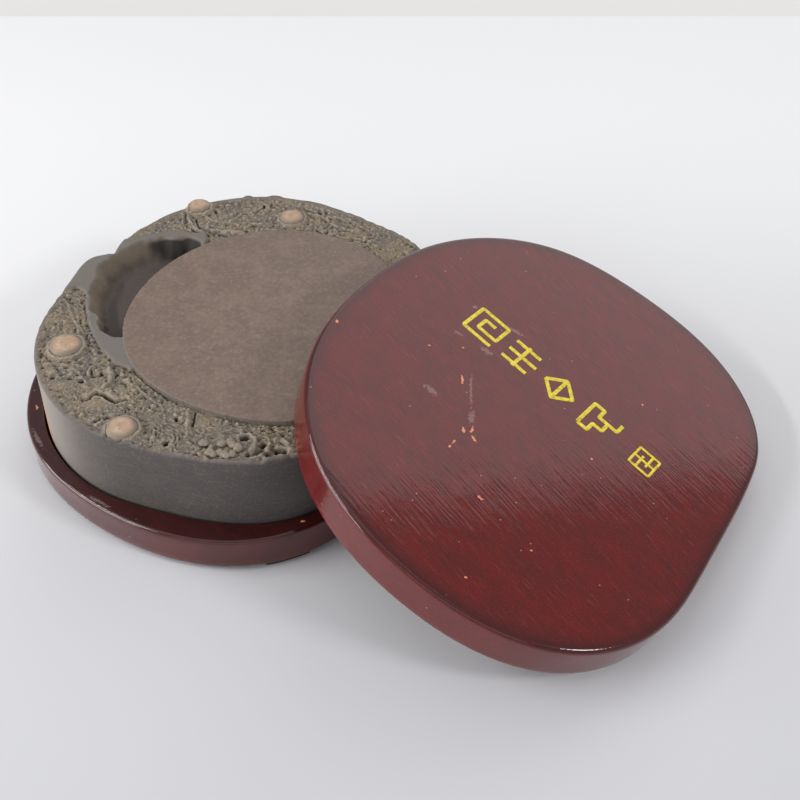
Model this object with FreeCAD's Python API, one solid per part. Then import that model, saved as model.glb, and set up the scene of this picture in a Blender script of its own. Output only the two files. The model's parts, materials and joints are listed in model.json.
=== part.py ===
import FreeCAD, Part
import math
import os

# Boxed carved inkstone, lid off and leaning on the stone.
# Millimetres and degrees. The tray's own centre is the building origin for
# the outlines; everything is moved at the end so that the model's origin
# lies on the table, under the middle of the whole.

# tray
foot_height = 2.0
tray_top = 17.2
seat_floor = 10.8
tray_top_round = 2.2
tray_bottom_round = 1.4
seat_clearance = 0.9
foot_angles = [14, 104, 194, 284]
foot_half_length = 9.0
foot_setback = 1.6
foot_width = 8.0

# stone
stone_under_gap = 0.1
ground_height = 49.9
disc_height = 50.7
stone_flare = 1.3
shoulder_round = 2.6
disc_edge_round = 0.6
disc_root = 3.0
well_depth = 10.5
well_slope = 3.0
eye_sink = 1.5
eye_rise = 1.7
eye_round = 0.8

# lid
lid_thickness = 17.8
lid_recess = 9.8
lid_clearance = 1.6
lid_top_round = 3.0
lid_bottom_round = 0.9
lid_centre = (124.5, -59.0)
lean_axis_azimuth = 62.6
lean_angle = 19.2
lid_turn = -3.1

# gilt marks in the lid's top
gilt_proud = 0.2
gilt_sunk = 0.25
stroke_width = 1.7
mark_size = 16.0
seal_size = 11.0
seal_stroke = 1.1
column_angle = -36.0
column_start = (-24.1, 38.4)
mark_steps = [0.0, 19.8, 39.5, 61.0]
seal_step = 84.0

# outlines as (angle, radius) about the tray's centre
tray_outline = [
    (0, 95.0), (16, 101.8), (31, 102.0), (60, 97.6), (85, 98.6),
    (120, 93.8), (150, 89.8), (180, 94.5), (207, 97.8), (240, 97.9),
    (272, 101.8), (288, 99.8), (304, 93.2), (320, 86.2), (337, 85.2),
]
stone_outline = [
    (0, 84.0), (14, 91.0), (32, 91.4), (60, 87.4), (86, 89.0),
    (112, 86.2), (134, 81.8), (141, 78.8), (145.5, 76.8), (150, 81.0),
    (162, 81.6), (183, 84.6), (200, 87.6), (236, 88.6), (253, 87.2),
    (276, 90.4), (292, 90.2), (306, 83.6), (322, 75.6), (342, 77.0),
]
# the grinding disc, x and y
disc_outline = [
    (-48.5, -3.0), (-42.3, 21.5), (-23.5, 46.0), (4.0, 58.4),
    (32.0, 56.0), (57.0, 40.0), (68.0, 15.0), (66.0, -14.0),
    (54.0, -42.0), (33.0, -66.5), (4.0, -65.8), (-20.0, -55.2),
    (-38.5, -38.0),
]
# the lip of the ink well where it meets the border, x and y
well_lip = [
    (-58.0, -12.0), (-61.0, -4.4), (-65.2, 1.0), (-66.2, 24.0),
    (-59.4, 42.0), (-46.0, 50.2), (-38.0, 49.0), (-30.0, 52.6),
]
# eye centres and radii
eyes = [
    (-28.1, 80.2, 5.6), (17.3, 70.8, 5.9), (-70.4, -22.9, 7.0), (-38.6, -71.6, 6.3),
]

# stroke plans on a unit square, each a chain of points; plain ornament
fret_plans = {
    "gilt_fret_spiral": [
        [(-1, -1), (-1, 1), (1, 1), (1, -1), (-0.4, -1), (-0.4, 0.35), (0.4, 0.35), (0.4, -0.4)],
    ],
    "gilt_fret_comb": [
        [(-1, 0.1), (1, 0.1)],
        [(-0.8, 1), (-0.8, -0.8)],
        [(0, 1), (0, -1)],
        [(0.8, 1), (0.8, -0.8)],
    ],
    "gilt_fret_lozenge": [
        [(0, 1), (0.9, 0), (0, -1), (-0.9, 0), (0, 1)],
        [(-0.9, 0), (0.9, 0)],
    ],
    "gilt_fret_step": [
        [(-1, 1), (-1, 0.3), (-0.35, 0.3), (-0.35, -0.35), (0.35, -0.35), (0.35, -1), (1, -1)],
        [(-1, 1), (1, 1), (1, 0.3), (0.35, 0.3), (0.35, -0.35)],
    ],
}
seal_plan = [
    [(-1, -1), (-1, 1), (1, 1), (1, -1), (-1, -1)],
    [(-1, 0.33), (0.4, 0.33)],
    [(1, -0.33), (-0.4, -0.33)],
    [(0, 1), (0, -1)],
]


def polar_points(outline, grow):
    points = []
    for angle, radius in outline:
        a = math.radians(angle)
        points.append(((radius + grow) * math.cos(a), (radius + grow) * math.sin(a)))
    return points


def smooth_loop(points, z):
    curve = Part.BSplineCurve()
    curve.interpolate(Points=[FreeCAD.Vector(x, y, z) for x, y in points], PeriodicFlag=True)
    return Part.Wire([curve.toShape()])


def slab(points, low, high):
    face = Part.Face(smooth_loop(points, low))
    return face.extrude(FreeCAD.Vector(0, 0, high - low))


def edges_at(shape, z):
    found = []
    for edge in shape.Edges:
        box = edge.BoundBox
        if abs(box.ZMin - z) < 1e-3 and abs(box.ZMax - z) < 1e-3:
            found.append(edge)
    return found


def make_tray():
    outer = slab(polar_points(tray_outline, 0), foot_height, tray_top)
    outer = outer.makeFillet(tray_top_round, edges_at(outer, tray_top))
    outer = outer.makeFillet(tray_bottom_round, edges_at(outer, foot_height))
    seat = slab(polar_points(stone_outline, stone_flare + seat_clearance), seat_floor, tray_top + 1)
    return outer.cut(seat)


def make_foot(angle):
    outer = slab(polar_points(tray_outline, -foot_setback), 0, foot_height)
    inner = slab(polar_points(tray_outline, -foot_setback - foot_width), -1, foot_height + 1)
    sector = Part.makeBox(200, 2 * foot_half_length, 10, FreeCAD.Vector(0, -foot_half_length, -2))
    sector.rotate(FreeCAD.Vector(0, 0, 0), FreeCAD.Vector(0, 0, 1), angle)
    return outer.cut(inner).common(sector)


def make_stone():
    low = smooth_loop(polar_points(stone_outline, stone_flare), seat_floor + stone_under_gap)
    high = smooth_loop(polar_points(stone_outline, 0), ground_height)
    block = Part.makeLoft([low, high], True, True)
    block = block.makeFillet(shoulder_round, edges_at(block, ground_height))
    block = block.cut(make_well_space())
    # the disc stands up from below the well's floor, so its side is the well's inner wall
    disc = slab(disc_outline, ground_height - well_depth - disc_root, disc_height)
    disc = disc.makeFillet(disc_edge_round, edges_at(disc, disc_height))
    block = block.fuse(disc)
    for x, y, radius in eyes:
        pocket = Part.makeCylinder(radius, 10, FreeCAD.Vector(x, y, ground_height - eye_sink))
        block = block.cut(pocket)
    return block.removeSplitter()


def make_well_space():
    # the floor is smaller than the mouth by the slope of the outer bank
    mouth = list(well_lip) + [(-15.0, 40.0), (-30.0, 0.0), (-42.0, -20.0)]
    middle = (-30.0, 15.0)
    floor = []
    for x, y in mouth:
        away = math.hypot(x - middle[0], y - middle[1])
        pull = well_slope / away
        floor.append((x + (middle[0] - x) * pull, y + (middle[1] - y) * pull))
    top_wire = smooth_loop(mouth, disc_height + 1)
    low_wire = smooth_loop(floor, ground_height - well_depth)
    return Part.makeLoft([low_wire, top_wire], True, True)


def make_eye(x, y, radius):
    base = FreeCAD.Vector(x, y, ground_height - eye_sink)
    stud = Part.makeCylinder(radius, eye_sink + eye_rise, base)
    return stud.makeFillet(eye_round, edges_at(stud, ground_height + eye_rise))


def make_lid():
    body = slab(polar_points(tray_outline, 0), -lid_thickness, 0)
    body = body.makeFillet(lid_top_round, edges_at(body, 0))
    body = body.makeFillet(lid_bottom_round, edges_at(body, -lid_thickness))
    recess = slab(polar_points(stone_outline, lid_clearance), -lid_thickness - 1, lid_recess - lid_thickness)
    body = body.cut(recess)
    for plan, size, stroke, step in gilt_marks().values():
        body = body.cut(make_strokes(plan, size, stroke, step))
    return body


def gilt_marks():
    marks = {}
    for (name, plan), step in zip(fret_plans.items(), mark_steps):
        marks[name] = (plan, mark_size, stroke_width, step)
    marks["gilt_seal"] = (seal_plan, seal_size, seal_stroke, seal_step)
    return marks


def make_strokes(plan, size, stroke, step):
    half = (size - stroke) / 2
    depth = gilt_sunk + gilt_proud
    whole = None
    for chain in plan:
        for start, end in zip(chain[:-1], chain[1:]):
            length = math.hypot(end[0] - start[0], end[1] - start[1]) * half
            bar = Part.makeBox(length + stroke, stroke, depth, FreeCAD.Vector(-stroke / 2, -stroke / 2, 0))
            turn = math.degrees(math.atan2(end[1] - start[1], end[0] - start[0]))
            bar.rotate(FreeCAD.Vector(0, 0, 0), FreeCAD.Vector(0, 0, 1), turn)
            bar.translate(FreeCAD.Vector(start[0] * half, start[1] * half, -gilt_sunk))
            whole = bar if whole is None else whole.fuse(bar)
    whole = whole.removeSplitter()
    whole.rotate(FreeCAD.Vector(0, 0, 0), FreeCAD.Vector(0, 0, 1), column_angle + 90)
    a = math.radians(column_angle)
    x = column_start[0] + step * math.cos(a)
    y = column_start[1] + step * math.sin(a)
    whole.translate(FreeCAD.Vector(x, y, 0))
    return whole


def lean(shape, rise):
    a = math.radians(lean_axis_azimuth)
    axis = FreeCAD.Vector(math.cos(a), math.sin(a), 0)
    turned = FreeCAD.Rotation(FreeCAD.Vector(0, 0, 1), lid_turn)
    tipped = FreeCAD.Rotation(axis, lean_angle).multiply(turned)
    place = FreeCAD.Placement(FreeCAD.Vector(lid_centre[0], lid_centre[1], rise), tipped)
    moved = shape.copy()
    moved.Placement = place.multiply(moved.Placement)
    return moved


def build():
    parts = {"tray": make_tray(), "inkstone": make_stone()}
    for number, angle in enumerate(foot_angles, 1):
        parts["foot_%d" % number] = make_foot(angle)
    for number, (x, y, radius) in enumerate(eyes, 1):
        parts["stone_eye_%d" % number] = make_eye(x, y, radius)
    # the lid is let down until its lowest edge touches the table
    lid = make_lid()
    rise = -lean(lid, 0).optimalBoundingBox().ZMin
    parts["lid"] = lean(lid, rise)
    for name, (plan, size, stroke, step) in gilt_marks().items():
        parts[name] = lean(make_strokes(plan, size, stroke, step), rise)
    # the origin goes under the middle of the whole
    box = parts["tray"].optimalBoundingBox()
    box.add(parts["lid"].optimalBoundingBox())
    shift = FreeCAD.Vector(-box.Center.x, -box.Center.y, 0)
    for shape in parts.values():
        shape.translate(shift)
    print("tray centre at", round(shift.x, 3), round(shift.y, 3), "lid rise", round(rise, 3))
    return parts


os.makedirs("parts", exist_ok=True)
for node, shape in build().items():
    if not shape.isValid():
        raise ValueError(node + " is not a valid solid")
    print(node, len(shape.Solids), "solid", round(shape.Volume / 1000, 2), "cm3")
    shape.exportStep("parts/" + node + ".step")
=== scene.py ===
import json
import math

import bmesh
import bpy
import numpy as np
from mathutils import Matrix, Vector


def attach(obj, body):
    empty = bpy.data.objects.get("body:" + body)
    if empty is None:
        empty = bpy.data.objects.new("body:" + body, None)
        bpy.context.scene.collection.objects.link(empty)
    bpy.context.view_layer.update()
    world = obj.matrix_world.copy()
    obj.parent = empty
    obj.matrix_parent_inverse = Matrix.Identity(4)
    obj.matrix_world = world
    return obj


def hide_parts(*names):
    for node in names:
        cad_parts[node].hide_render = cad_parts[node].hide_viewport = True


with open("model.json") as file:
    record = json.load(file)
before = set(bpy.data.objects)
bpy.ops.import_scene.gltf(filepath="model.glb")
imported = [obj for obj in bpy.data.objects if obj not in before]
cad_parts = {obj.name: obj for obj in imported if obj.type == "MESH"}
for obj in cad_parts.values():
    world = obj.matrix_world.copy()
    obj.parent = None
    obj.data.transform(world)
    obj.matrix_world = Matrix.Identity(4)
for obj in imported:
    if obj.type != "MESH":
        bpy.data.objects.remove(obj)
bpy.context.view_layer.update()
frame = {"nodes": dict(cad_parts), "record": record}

mm = 0.001
nodes = frame["nodes"]
mounts = {m["name"]: m for m in frame["record"]["mounts"]}
# the tray's own middle; every outline is measured round it
trayMiddle = np.array(mounts["grinding_face"]["pos_m"][:2]) / mm


# small helpers

def hexColour(text):
    # sRGB hex to linear
    values = [int(text[i:i + 2], 16) / 255 for i in (1, 3, 5)]
    return tuple(v / 12.92 if v <= 0.04045 else ((v + 0.055) / 1.055) ** 2.4 for v in values) + (1.0,)


def addNode(tree, kind, inputs=None, out=0, **settings):
    # one node with its settings and its inputs (numbers or sockets); gives back the wanted output
    node = tree.nodes.new(kind)
    for name, value in settings.items():
        setattr(node, name, value)
    for name, value in (inputs or {}).items():
        if isinstance(value, bpy.types.NodeSocket):
            tree.links.new(value, node.inputs[name])
        else:
            node.inputs[name].default_value = value
    return node.outputs[out]


def newMaterial(name):
    material = bpy.data.materials.new(name)
    material.use_nodes = True
    tree = material.node_tree
    return material, tree, tree.nodes["Principled BSDF"]


def readSources(tree, marks, grains, place=None):
    # everything a coat of colour can follow: marks on the mesh, the place itself, and random grain
    # grain rows: name, size in mm along x, y and z, turn in degrees, detail, roughness
    place = place or addNode(tree, "ShaderNodeTexCoord", out="Object")
    axes = addNode(tree, "ShaderNodeSeparateXYZ", {0: place}).node.outputs
    sources = {"place": place, "x": axes["X"], "y": axes["Y"], "z": axes["Z"]}
    for name in marks:
        sources[name] = addNode(tree, "ShaderNodeAttribute", out="Fac", attribute_name=name)
    for name, size, turn, detail, rough in grains:
        turned = addNode(tree, "ShaderNodeMapping", {
            "Vector": place, "Rotation": (0, 0, math.radians(turn))})
        scaled = addNode(tree, "ShaderNodeMapping", {
            "Vector": turned, "Scale": [1 / (d * mm) for d in size]})
        sources[name] = addNode(tree, "ShaderNodeTexNoise", {
            "Vector": scaled, "Scale": 1.0, "Detail": detail, "Roughness": rough})
    return sources


def layColour(tree, sources, ground, coats):
    # coats over a ground, each row: what it follows, from, to, how much at most, only where, colour
    colour = hexColour(ground)
    for source, low, high, most, where, tone in coats:
        share = addNode(tree, "ShaderNodeMapRange", {
            "Value": sources[source], "From Min": low, "From Max": high, "To Max": most},
            interpolation_type="SMOOTHSTEP")
        if where:
            share = addNode(tree, "ShaderNodeMath", {0: share, 1: sources[where]}, operation="MULTIPLY")
        colour = addNode(tree, "ShaderNodeMix", {0: share, 6: colour, 7: hexColour(tone)}, out=2,
                         data_type="RGBA")
    return colour


def layRelief(tree, sources, bumps):
    # small relief, each row: height source, depth in mm, strength, only where
    normal = None
    for source, depth, strength, where in bumps:
        if where:
            strength = addNode(tree, "ShaderNodeMath", {0: sources[where], 1: strength}, operation="MULTIPLY")
        ends = {"Strength": strength, "Distance": depth * mm, "Height": sources[source]}
        if normal:
            ends["Normal"] = normal
        normal = addNode(tree, "ShaderNodeBump", ends)
    return normal


def finishSkin(tree, shader, sources, look, coats):
    # colour, roughness (one number, or source, from, to, roughness from, to), small relief, fixed values
    tree.links.new(layColour(tree, sources, look["ground"], coats), shader.inputs["Base Color"])
    if isinstance(look["rough"], float):
        shader.inputs["Roughness"].default_value = look["rough"]
    else:
        source, low, high, roughLow, roughHigh = look["rough"]
        tree.links.new(addNode(tree, "ShaderNodeMapRange", {
            "Value": sources[source], "From Min": low, "From Max": high, "To Min": roughLow,
            "To Max": roughHigh}), shader.inputs["Roughness"])
    if look["bumps"]:
        tree.links.new(layRelief(tree, sources, look["bumps"]), shader.inputs["Normal"])
    for name, value in {"IOR": 1.5, **look.get("fixed", {})}.items():
        shader.inputs[name].default_value = value


def makeSkin(name, look):
    material, tree, shader = newMaterial(name)
    sources = readSources(tree, look.get("marks", ()), look["grains"])
    finishSkin(tree, shader, sources, look, look["coats"])
    return material


def smoothStep(low, high, value):
    t = np.clip((value - low) / (high - low), 0, 1)
    return t * t * (3 - 2 * t)


def newObject(name, mesh, material=None):
    thing = bpy.data.objects.new(name, mesh)
    bpy.context.scene.collection.objects.link(thing)
    if material:
        mesh.materials.append(material)
    return thing


def addAttribute(mesh, name, values):
    layer = mesh.attributes.new(name, "FLOAT", "POINT")
    layer.data.foreach_set("value", np.asarray(values, np.float32).ravel())


def turnNormals(mesh):
    # every face looks outward
    work = bmesh.new()
    work.from_mesh(mesh)
    bmesh.ops.recalc_face_normals(work, faces=work.faces)
    work.to_mesh(mesh)
    work.free()


def ringSolid(name, rings, attributes=None, material=None):
    # a closed solid from rings of equal count, in millimetres, each end shut by a fan to its own middle
    rows, count = rings.shape[:2]
    middles = np.array([rings[0].mean(0), rings[-1].mean(0)])
    points = np.vstack([rings.reshape(-1, 3), middles]) * mm
    index = np.arange(rows * count).reshape(rows, count)
    onward = np.roll(index, -1, axis=1)
    quads = np.stack([index[:-1], index[1:], onward[1:], onward[:-1]], -1).reshape(-1, 4)
    top, low = rows * count, rows * count + 1
    fanTop = np.stack([np.full(count, top), index[0], onward[0]], -1)
    fanLow = np.stack([np.full(count, low), onward[-1], index[-1]], -1)
    mesh = bpy.data.meshes.new(name)
    mesh.vertices.add(len(points))
    mesh.vertices.foreach_set("co", points.astype(np.float32).ravel())
    corners = np.concatenate([quads.ravel(), fanTop.ravel(), fanLow.ravel()])
    starts = np.concatenate([np.arange(len(quads)) * 4,
                             len(quads) * 4 + np.arange(2 * count) * 3])
    mesh.loops.add(len(corners))
    mesh.loops.foreach_set("vertex_index", corners.astype(np.int32))
    mesh.polygons.add(len(starts))
    mesh.polygons.foreach_set("loop_start", starts.astype(np.int32))
    mesh.update(calc_edges=True)
    mesh.polygons.foreach_set("use_smooth", np.ones(len(starts), bool))
    for key, values in (attributes or {}).items():
        ends = [values[0].mean(), values[-1].mean()]
        addAttribute(mesh, key, np.concatenate([values.ravel(), ends]))
    turnNormals(mesh)
    mesh.validate()
    return newObject(name, mesh, material)


def readOutline(node, height, slack=0.05, innermost=20):
    # radius round the tray's middle against angle, from a CAD node's points at one height
    points = np.array([v.co for v in nodes[node].data.vertices]) / mm
    points = points[abs(points[:, 2] - height) < slack][:, :2] - trayMiddle
    radius = np.hypot(points[:, 0], points[:, 1])
    points, radius = points[radius > innermost], radius[radius > innermost]
    angle = np.mod(np.arctan2(points[:, 1], points[:, 0]), 2 * math.pi)
    order = np.argsort(angle)
    angle, radius = angle[order], radius[order]
    keep = np.concatenate([[True], np.diff(angle) > 0.002])
    angle, radius = angle[keep], radius[keep]
    a = np.concatenate([angle[-3:] - 2 * math.pi, angle, angle[:3] + 2 * math.pi])
    r = np.concatenate([radius[-3:], radius, radius[:3]])
    slope = np.gradient(r, a)

    def radiusAt(theta):
        theta = np.mod(theta, 2 * math.pi)
        k = np.clip(np.searchsorted(a, theta) - 1, 0, len(a) - 2)
        step = a[k + 1] - a[k]
        t = (theta - a[k]) / step
        return ((2 * t**3 - 3 * t**2 + 1) * r[k] + (t**3 - 2 * t**2 + t) * step * slope[k]
                + (3 * t**2 - 2 * t**3) * r[k + 1] + (t**3 - t**2) * step * slope[k + 1])

    return radiusAt


lattice = 64     # random tables are this wide, then they repeat
farAway = 1e9


def softNoise(x, y, size, seed):
    # random heights from -1 to 1, smooth, one lattice cell per size
    table = np.random.default_rng(seed).uniform(-1, 1, (lattice, lattice))
    u, v = x / size, y / size
    i, j = np.floor(u).astype(int), np.floor(v).astype(int)
    fu, fv = u - i, v - j
    fu, fv = fu * fu * (3 - 2 * fu), fv * fv * (3 - 2 * fv)
    left, right, low, high = i % lattice, (i + 1) % lattice, j % lattice, (j + 1) % lattice
    near = table[left, low] * (1 - fu) + table[right, low] * fu
    far = table[left, high] * (1 - fu) + table[right, high] * fu
    return near * (1 - fv) + far * fv


def cellField(x, y, size, seed):
    # scattered seeds: distance to the nearest and to the next one, and the nearest one's own number
    rng = np.random.default_rng(seed)
    jitter, tones = rng.uniform(-0.42, 0.42, (lattice, lattice, 2)), rng.uniform(0, 1, (lattice, lattice))
    i, j = np.floor(x / size).astype(int), np.floor(y / size).astype(int)
    nearest, second, tone = np.full(x.shape, farAway), np.full(x.shape, farAway), np.zeros(x.shape)
    for di in (-1, 0, 1):
        for dj in (-1, 0, 1):
            a, b = (i + di) % lattice, (j + dj) % lattice
            dx = x - (i + di + 0.5 + jitter[a, b, 0]) * size
            dy = y - (j + dj + 0.5 + jitter[a, b, 1]) * size
            d = np.hypot(dx, dy)
            closer = d < nearest
            second = np.where(closer, nearest, np.minimum(second, d))
            nearest = np.where(closer, d, nearest)
            tone = np.where(closer, tones[a, b], tone)
    return nearest, second, tone


def smoothLine(points, step=0.45):
    # a soft line through the points
    p = np.array(points, float)
    if len(p) == 2:
        count = max(2, int(np.hypot(*(p[1] - p[0])) / step))
        return p[0] + np.linspace(0, 1, count)[:, None] * (p[1] - p[0])
    p = np.vstack([2 * p[0] - p[1], p, 2 * p[-1] - p[-2]])
    track = []
    for k in range(1, len(p) - 2):
        count = max(2, int(np.hypot(*(p[k + 1] - p[k])) / step))
        t = np.linspace(0, 1, count, endpoint=False)[:, None]
        track.append(0.5 * (2 * p[k] + (p[k + 1] - p[k - 1]) * t
                            + (2 * p[k - 1] - 5 * p[k] + 4 * p[k + 1] - p[k + 2]) * t**2
                            + (3 * p[k] - p[k - 1] - 3 * p[k + 1] + p[k + 2]) * t**3))
    return np.vstack(track + [p[-2][None]])


def polygonDistance(x, y, polygon):
    # distance to the polygon's edge, positive inside
    loop = smoothLine(list(polygon) + [polygon[0]], 1.0)
    best = np.full(x.shape, farAway)
    inside = np.zeros(x.shape, bool)
    for (ax, ay), (bx, by) in zip(loop[:-1], loop[1:]):
        ex, ey = bx - ax, by - ay
        squared = ex * ex + ey * ey
        if squared < 1e-12:
            continue
        t = np.clip(((x - ax) * ex + (y - ay) * ey) / squared, 0, 1)
        best = np.minimum(best, np.hypot(x - ax - t * ex, y - ay - t * ey))
        crosses = (ay > y) != (by > y)
        inside ^= crosses & (x < (bx - ax) * (y - ay) / (by - ay + 1e-12) + ax)
    return np.where(inside, best, -best)


def polar(theta, radius, height):
    # a ring in the model's own frame, millimetres
    x = trayMiddle[0] + radius * np.cos(theta)
    y = trayMiddle[1] + radius * np.sin(theta)
    return np.stack([x, y, np.broadcast_to(height, x.shape)], -1)


# camera

cameraValues = {
    "place": (0.00639, -0.35590, 0.36006),
    "lookDown": 46.793,     # degrees from straight down
    "lens": 51.67,
}
cameraData = bpy.data.cameras.new("deskCamera")
cameraData.lens = cameraValues["lens"]
cameraData.sensor_width = 36
cameraData.clip_start = 0.01
camera = bpy.data.objects.new("deskCamera", cameraData)
camera.location = cameraValues["place"]
camera.rotation_euler = (math.radians(cameraValues["lookDown"]), 0, 0)
bpy.context.scene.collection.objects.link(camera)
bpy.context.scene.camera = camera
bpy.context.scene.view_settings.view_transform = "Standard"
print("camera set")


# inkstone: ground disc, deep well, carved border

stoneShape = {
    "around": 960,
    "borderRows": 76,
    "plainTop": 49.9,
    "discTop": 50.7,
    "discDish": 0.35,        # the grinding has worn the middle down
    "foot": 10.9,
    "flare": 1.3,
    "shoulder": 1.9,
    "carvedGround": -1.5,    # how far the carver cut the ground away
    "wellDepth": 10.5,
    "edgeBand": 1.3,
    "backLift": 1.3,
}
eyes = [(-28.1, 80.2, 5.6), (17.3, 70.8, 5.9), (-70.4, -22.9, 7.0), (-38.6, -71.6, 6.3)]

# where the stone was left plain: round the well and beside the disc
plainPatch = [
    (-20, 30), (-21.5, 57.2), (-27, 58.6), (-33, 60.2), (-42, 59.3), (-50, 57.3), (-57, 54.6), (-63, 51.5),
    (-74, 48), (-90, 40), (-88, 14), (-79.5, 15.5), (-73.5, 16.8), (-69.3, 12), (-66.8, 2), (-64, -7.5),
    (-61, -14), (-56.5, -22), (-50.5, -31), (-44, -35.5), (-38, -36.5), (-20, -25),
]
wellLip = [
    (-30, 30), (-22.5, 49), (-25.5, 54), (-31, 56.3), (-36.5, 54.6), (-41.5, 55.8), (-48.5, 53.2), (-53, 51.8),
    (-57.5, 47), (-62.5, 44), (-64, 38.5), (-67.8, 34), (-67.2, 25), (-68.6, 16), (-66.6, 7), (-65.2, 0.8),
    (-60.6, -3.6), (-60, -8.4), (-57.6, -12.8), (-54, -15.7), (-49.4, -17.4), (-40, -14), (-35, 10),
]

# raised lines: half width, top against the plain level, points
ridges = [
    # stems above the left eye
    (0.75, -0.3, [(-66.7, -15.1), (-68.5, -9), (-71.3, -4.3), (-73.6, 1.4), (-76.4, 7.1), (-79.3, 10.4)]),
    (0.7, -0.4, [(-65.2, -13.6), (-67.9, -8.4), (-70.2, -0.3), (-71.2, 5.3), (-70.6, 13)]),
    (0.6, -0.6, [(-69.6, -13.8), (-73, -10.5), (-76.5, -9.5), (-80.4, -6)]),
    (0.55, -0.6, [(-71.3, -4.3), (-74.4, -2.6), (-78, -2.6), (-81, 0.4)]),
    (0.5, -0.7, [(-76.4, 7.1), (-79.5, 6.3), (-80.6, 4)]),
    # sweep under the left eye
    (0.7, -0.35, [(-81, -21.5), (-79, -26), (-75.5, -30), (-71.5, -33.4), (-66, -35.2)]),
    (0.55, -0.6, [(-82.6, -25.5), (-79.8, -30), (-77, -33)]),
    (0.9, -0.25, [(-61.5, -29.5), (-64.5, -32.4), (-68, -33.6)]),
    # cloud edge
    (0.7, 0.0, [(-79.6, -36.2), (-77.2, -34), (-72.5, -33.2), (-67.5, -34.4), (-62.4, -38.2), (-58.6, -43.6)]),
    (0.5, -0.4, [(-77.4, -37.6), (-73, -35.4), (-68, -36.4), (-64, -39.4), (-61.4, -42.6)]),
    (0.5, -0.5, [(-69.5, -48.8), (-65.5, -47.4), (-61, -48.6)]),
    (0.45, -0.5, [(-70, -47.2), (-65.5, -45.8), (-60, -47.2)]),
    # smooth upright between the rocks
    (1.7, 0.25, [(-50, -36.2), (-49.2, -40), (-48.6, -44.2), (-50.4, -47.4)]),
    (0.8, -0.1, [(-44.6, -37.2), (-44.4, -40.5), (-43, -43.5), (-39.5, -45.2)]),
    (0.8, 0.0, [(-52.6, -33.4), (-55.6, -34), (-57.6, -36.6), (-57.8, -40)]),
    # the fine level lines above the lower eye
    (0.38, -0.7, [(-57, -59.4), (-50, -60.2), (-42, -59.7), (-34.5, -61.2)]),
    (0.38, -0.7, [(-56, -61), (-49.5, -61.6), (-42, -61.2), (-36, -62.8)]),
    (0.38, -0.8, [(-54.5, -62.6), (-49, -63.1), (-42.5, -62.7)]),
    # beside the disc, low left
    (0.7, -0.2, [(-40.2, -40.5), (-36.6, -47.4), (-31.4, -53.4), (-25.2, -58.4)]),
    (0.5, -0.5, [(-42.2, -47.5), (-38.4, -54), (-33, -58.4), (-28.4, -61.4)]),
    (0.5, -0.5, [(-39.6, -50), (-36.2, -54.6), (-31.2, -58.6)]),
    (1.5, 0.1, [(-14.4, -60.8), (-14.2, -66), (-13.6, -71.5)]),
    (0.6, -0.2, [(-10.4, -71.8), (-5, -74.2), (1, -72.8), (6, -70.8), (11, -70.2)]),
    (0.55, -0.3, [(-20.6, -61), (-16.5, -60.3), (-12.5, -61.2)]),
    (0.6, -0.2, [(-24.5, -61.8), (-26.6, -65), (-24.8, -68.6), (-21.6, -68.4)]),
    # leaf loop at the front
    (0.55, -0.1, [(-17.6, -79.4), (-16.4, -82.6), (-12.6, -85.4), (-8.8, -86.6)]),
    (0.5, -0.3, [(-16.6, -78.4), (-12.4, -78.6), (-8.8, -81.2), (-7.6, -84.4)]),
    # rock, front right
    (1.4, -0.1, [(10.6, -73.4), (12.6, -76.4), (13.4, -79.6), (11.8, -82.4)]),
    (1.1, -0.2, [(12.6, -76.2), (16.4, -75.4), (19, -77.6), (18.6, -81.8)]),
    (1.0, -0.2, [(19, -77.4), (23, -76.6), (26.4, -79.6)]),
    # top: pine trunk and boughs
    (0.8, 0.2, [(-33.4, 77), (-32.2, 71.6), (-30, 66.4), (-27, 61.8), (-22.6, 58.8)]),
    (0.6, -0.2, [(-34.6, 74.4), (-34.6, 69), (-32.6, 63.6), (-29.6, 60.8)]),
    (1.3, 0.1, [(-22.4, 66.6), (-20.8, 61.6), (-15.2, 61), (-9.4, 60.2), (-5.8, 61.4), (-2.6, 64.6)]),
    (0.9, -0.1, [(-24.4, 73.4), (-20.6, 69.6), (-14.8, 67.8), (-10.6, 70), (-7.2, 74.4)]),
    (0.8, -0.2, [(-17.8, 76.4), (-13.2, 73.4), (-9.6, 76.8), (-7.8, 80.6)]),
    (0.9, 0.0, [(-4.4, 70.6), (-1.6, 67), (3, 66.4), (7.8, 67.4)]),
    (0.8, -0.2, [(-3.6, 82), (0.4, 84.6), (4.6, 83), (5.4, 79)]),
    (0.9, -0.1, [(5, 62), (9.6, 61.2), (13.2, 62.8)]),
    (1.2, 0.2, [(24.6, 74.8), (29.2, 72.6), (34, 72), (40, 71), (45.4, 68.8), (51, 63.6)]),
    (0.9, 0.0, [(33.6, 72), (35.8, 67), (40.6, 63.2), (46.6, 60.6)]),
    (0.8, 0.0, [(26.8, 66.4), (25.4, 62.2), (22.4, 58.6)]),
    (0.7, -0.2, [(30.4, 70.4), (30.8, 65.6), (33.6, 61.2)]),
    (1.4, 0.0, [(36.6, 57.6), (41.2, 58.6), (46.2, 56.8), (50.6, 57)]),
    (1.0, -0.1, [(49.6, 50.6), (53.6, 49.4), (56.6, 45.6), (58.4, 41.6)]),
    (0.7, -0.2, [(19.8, 81.6), (26, 80.2), (32, 77.6), (38.4, 75.4)]),
    (0.6, -0.3, [(21, 84), (27.6, 82), (34.6, 79)]),
]
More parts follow.
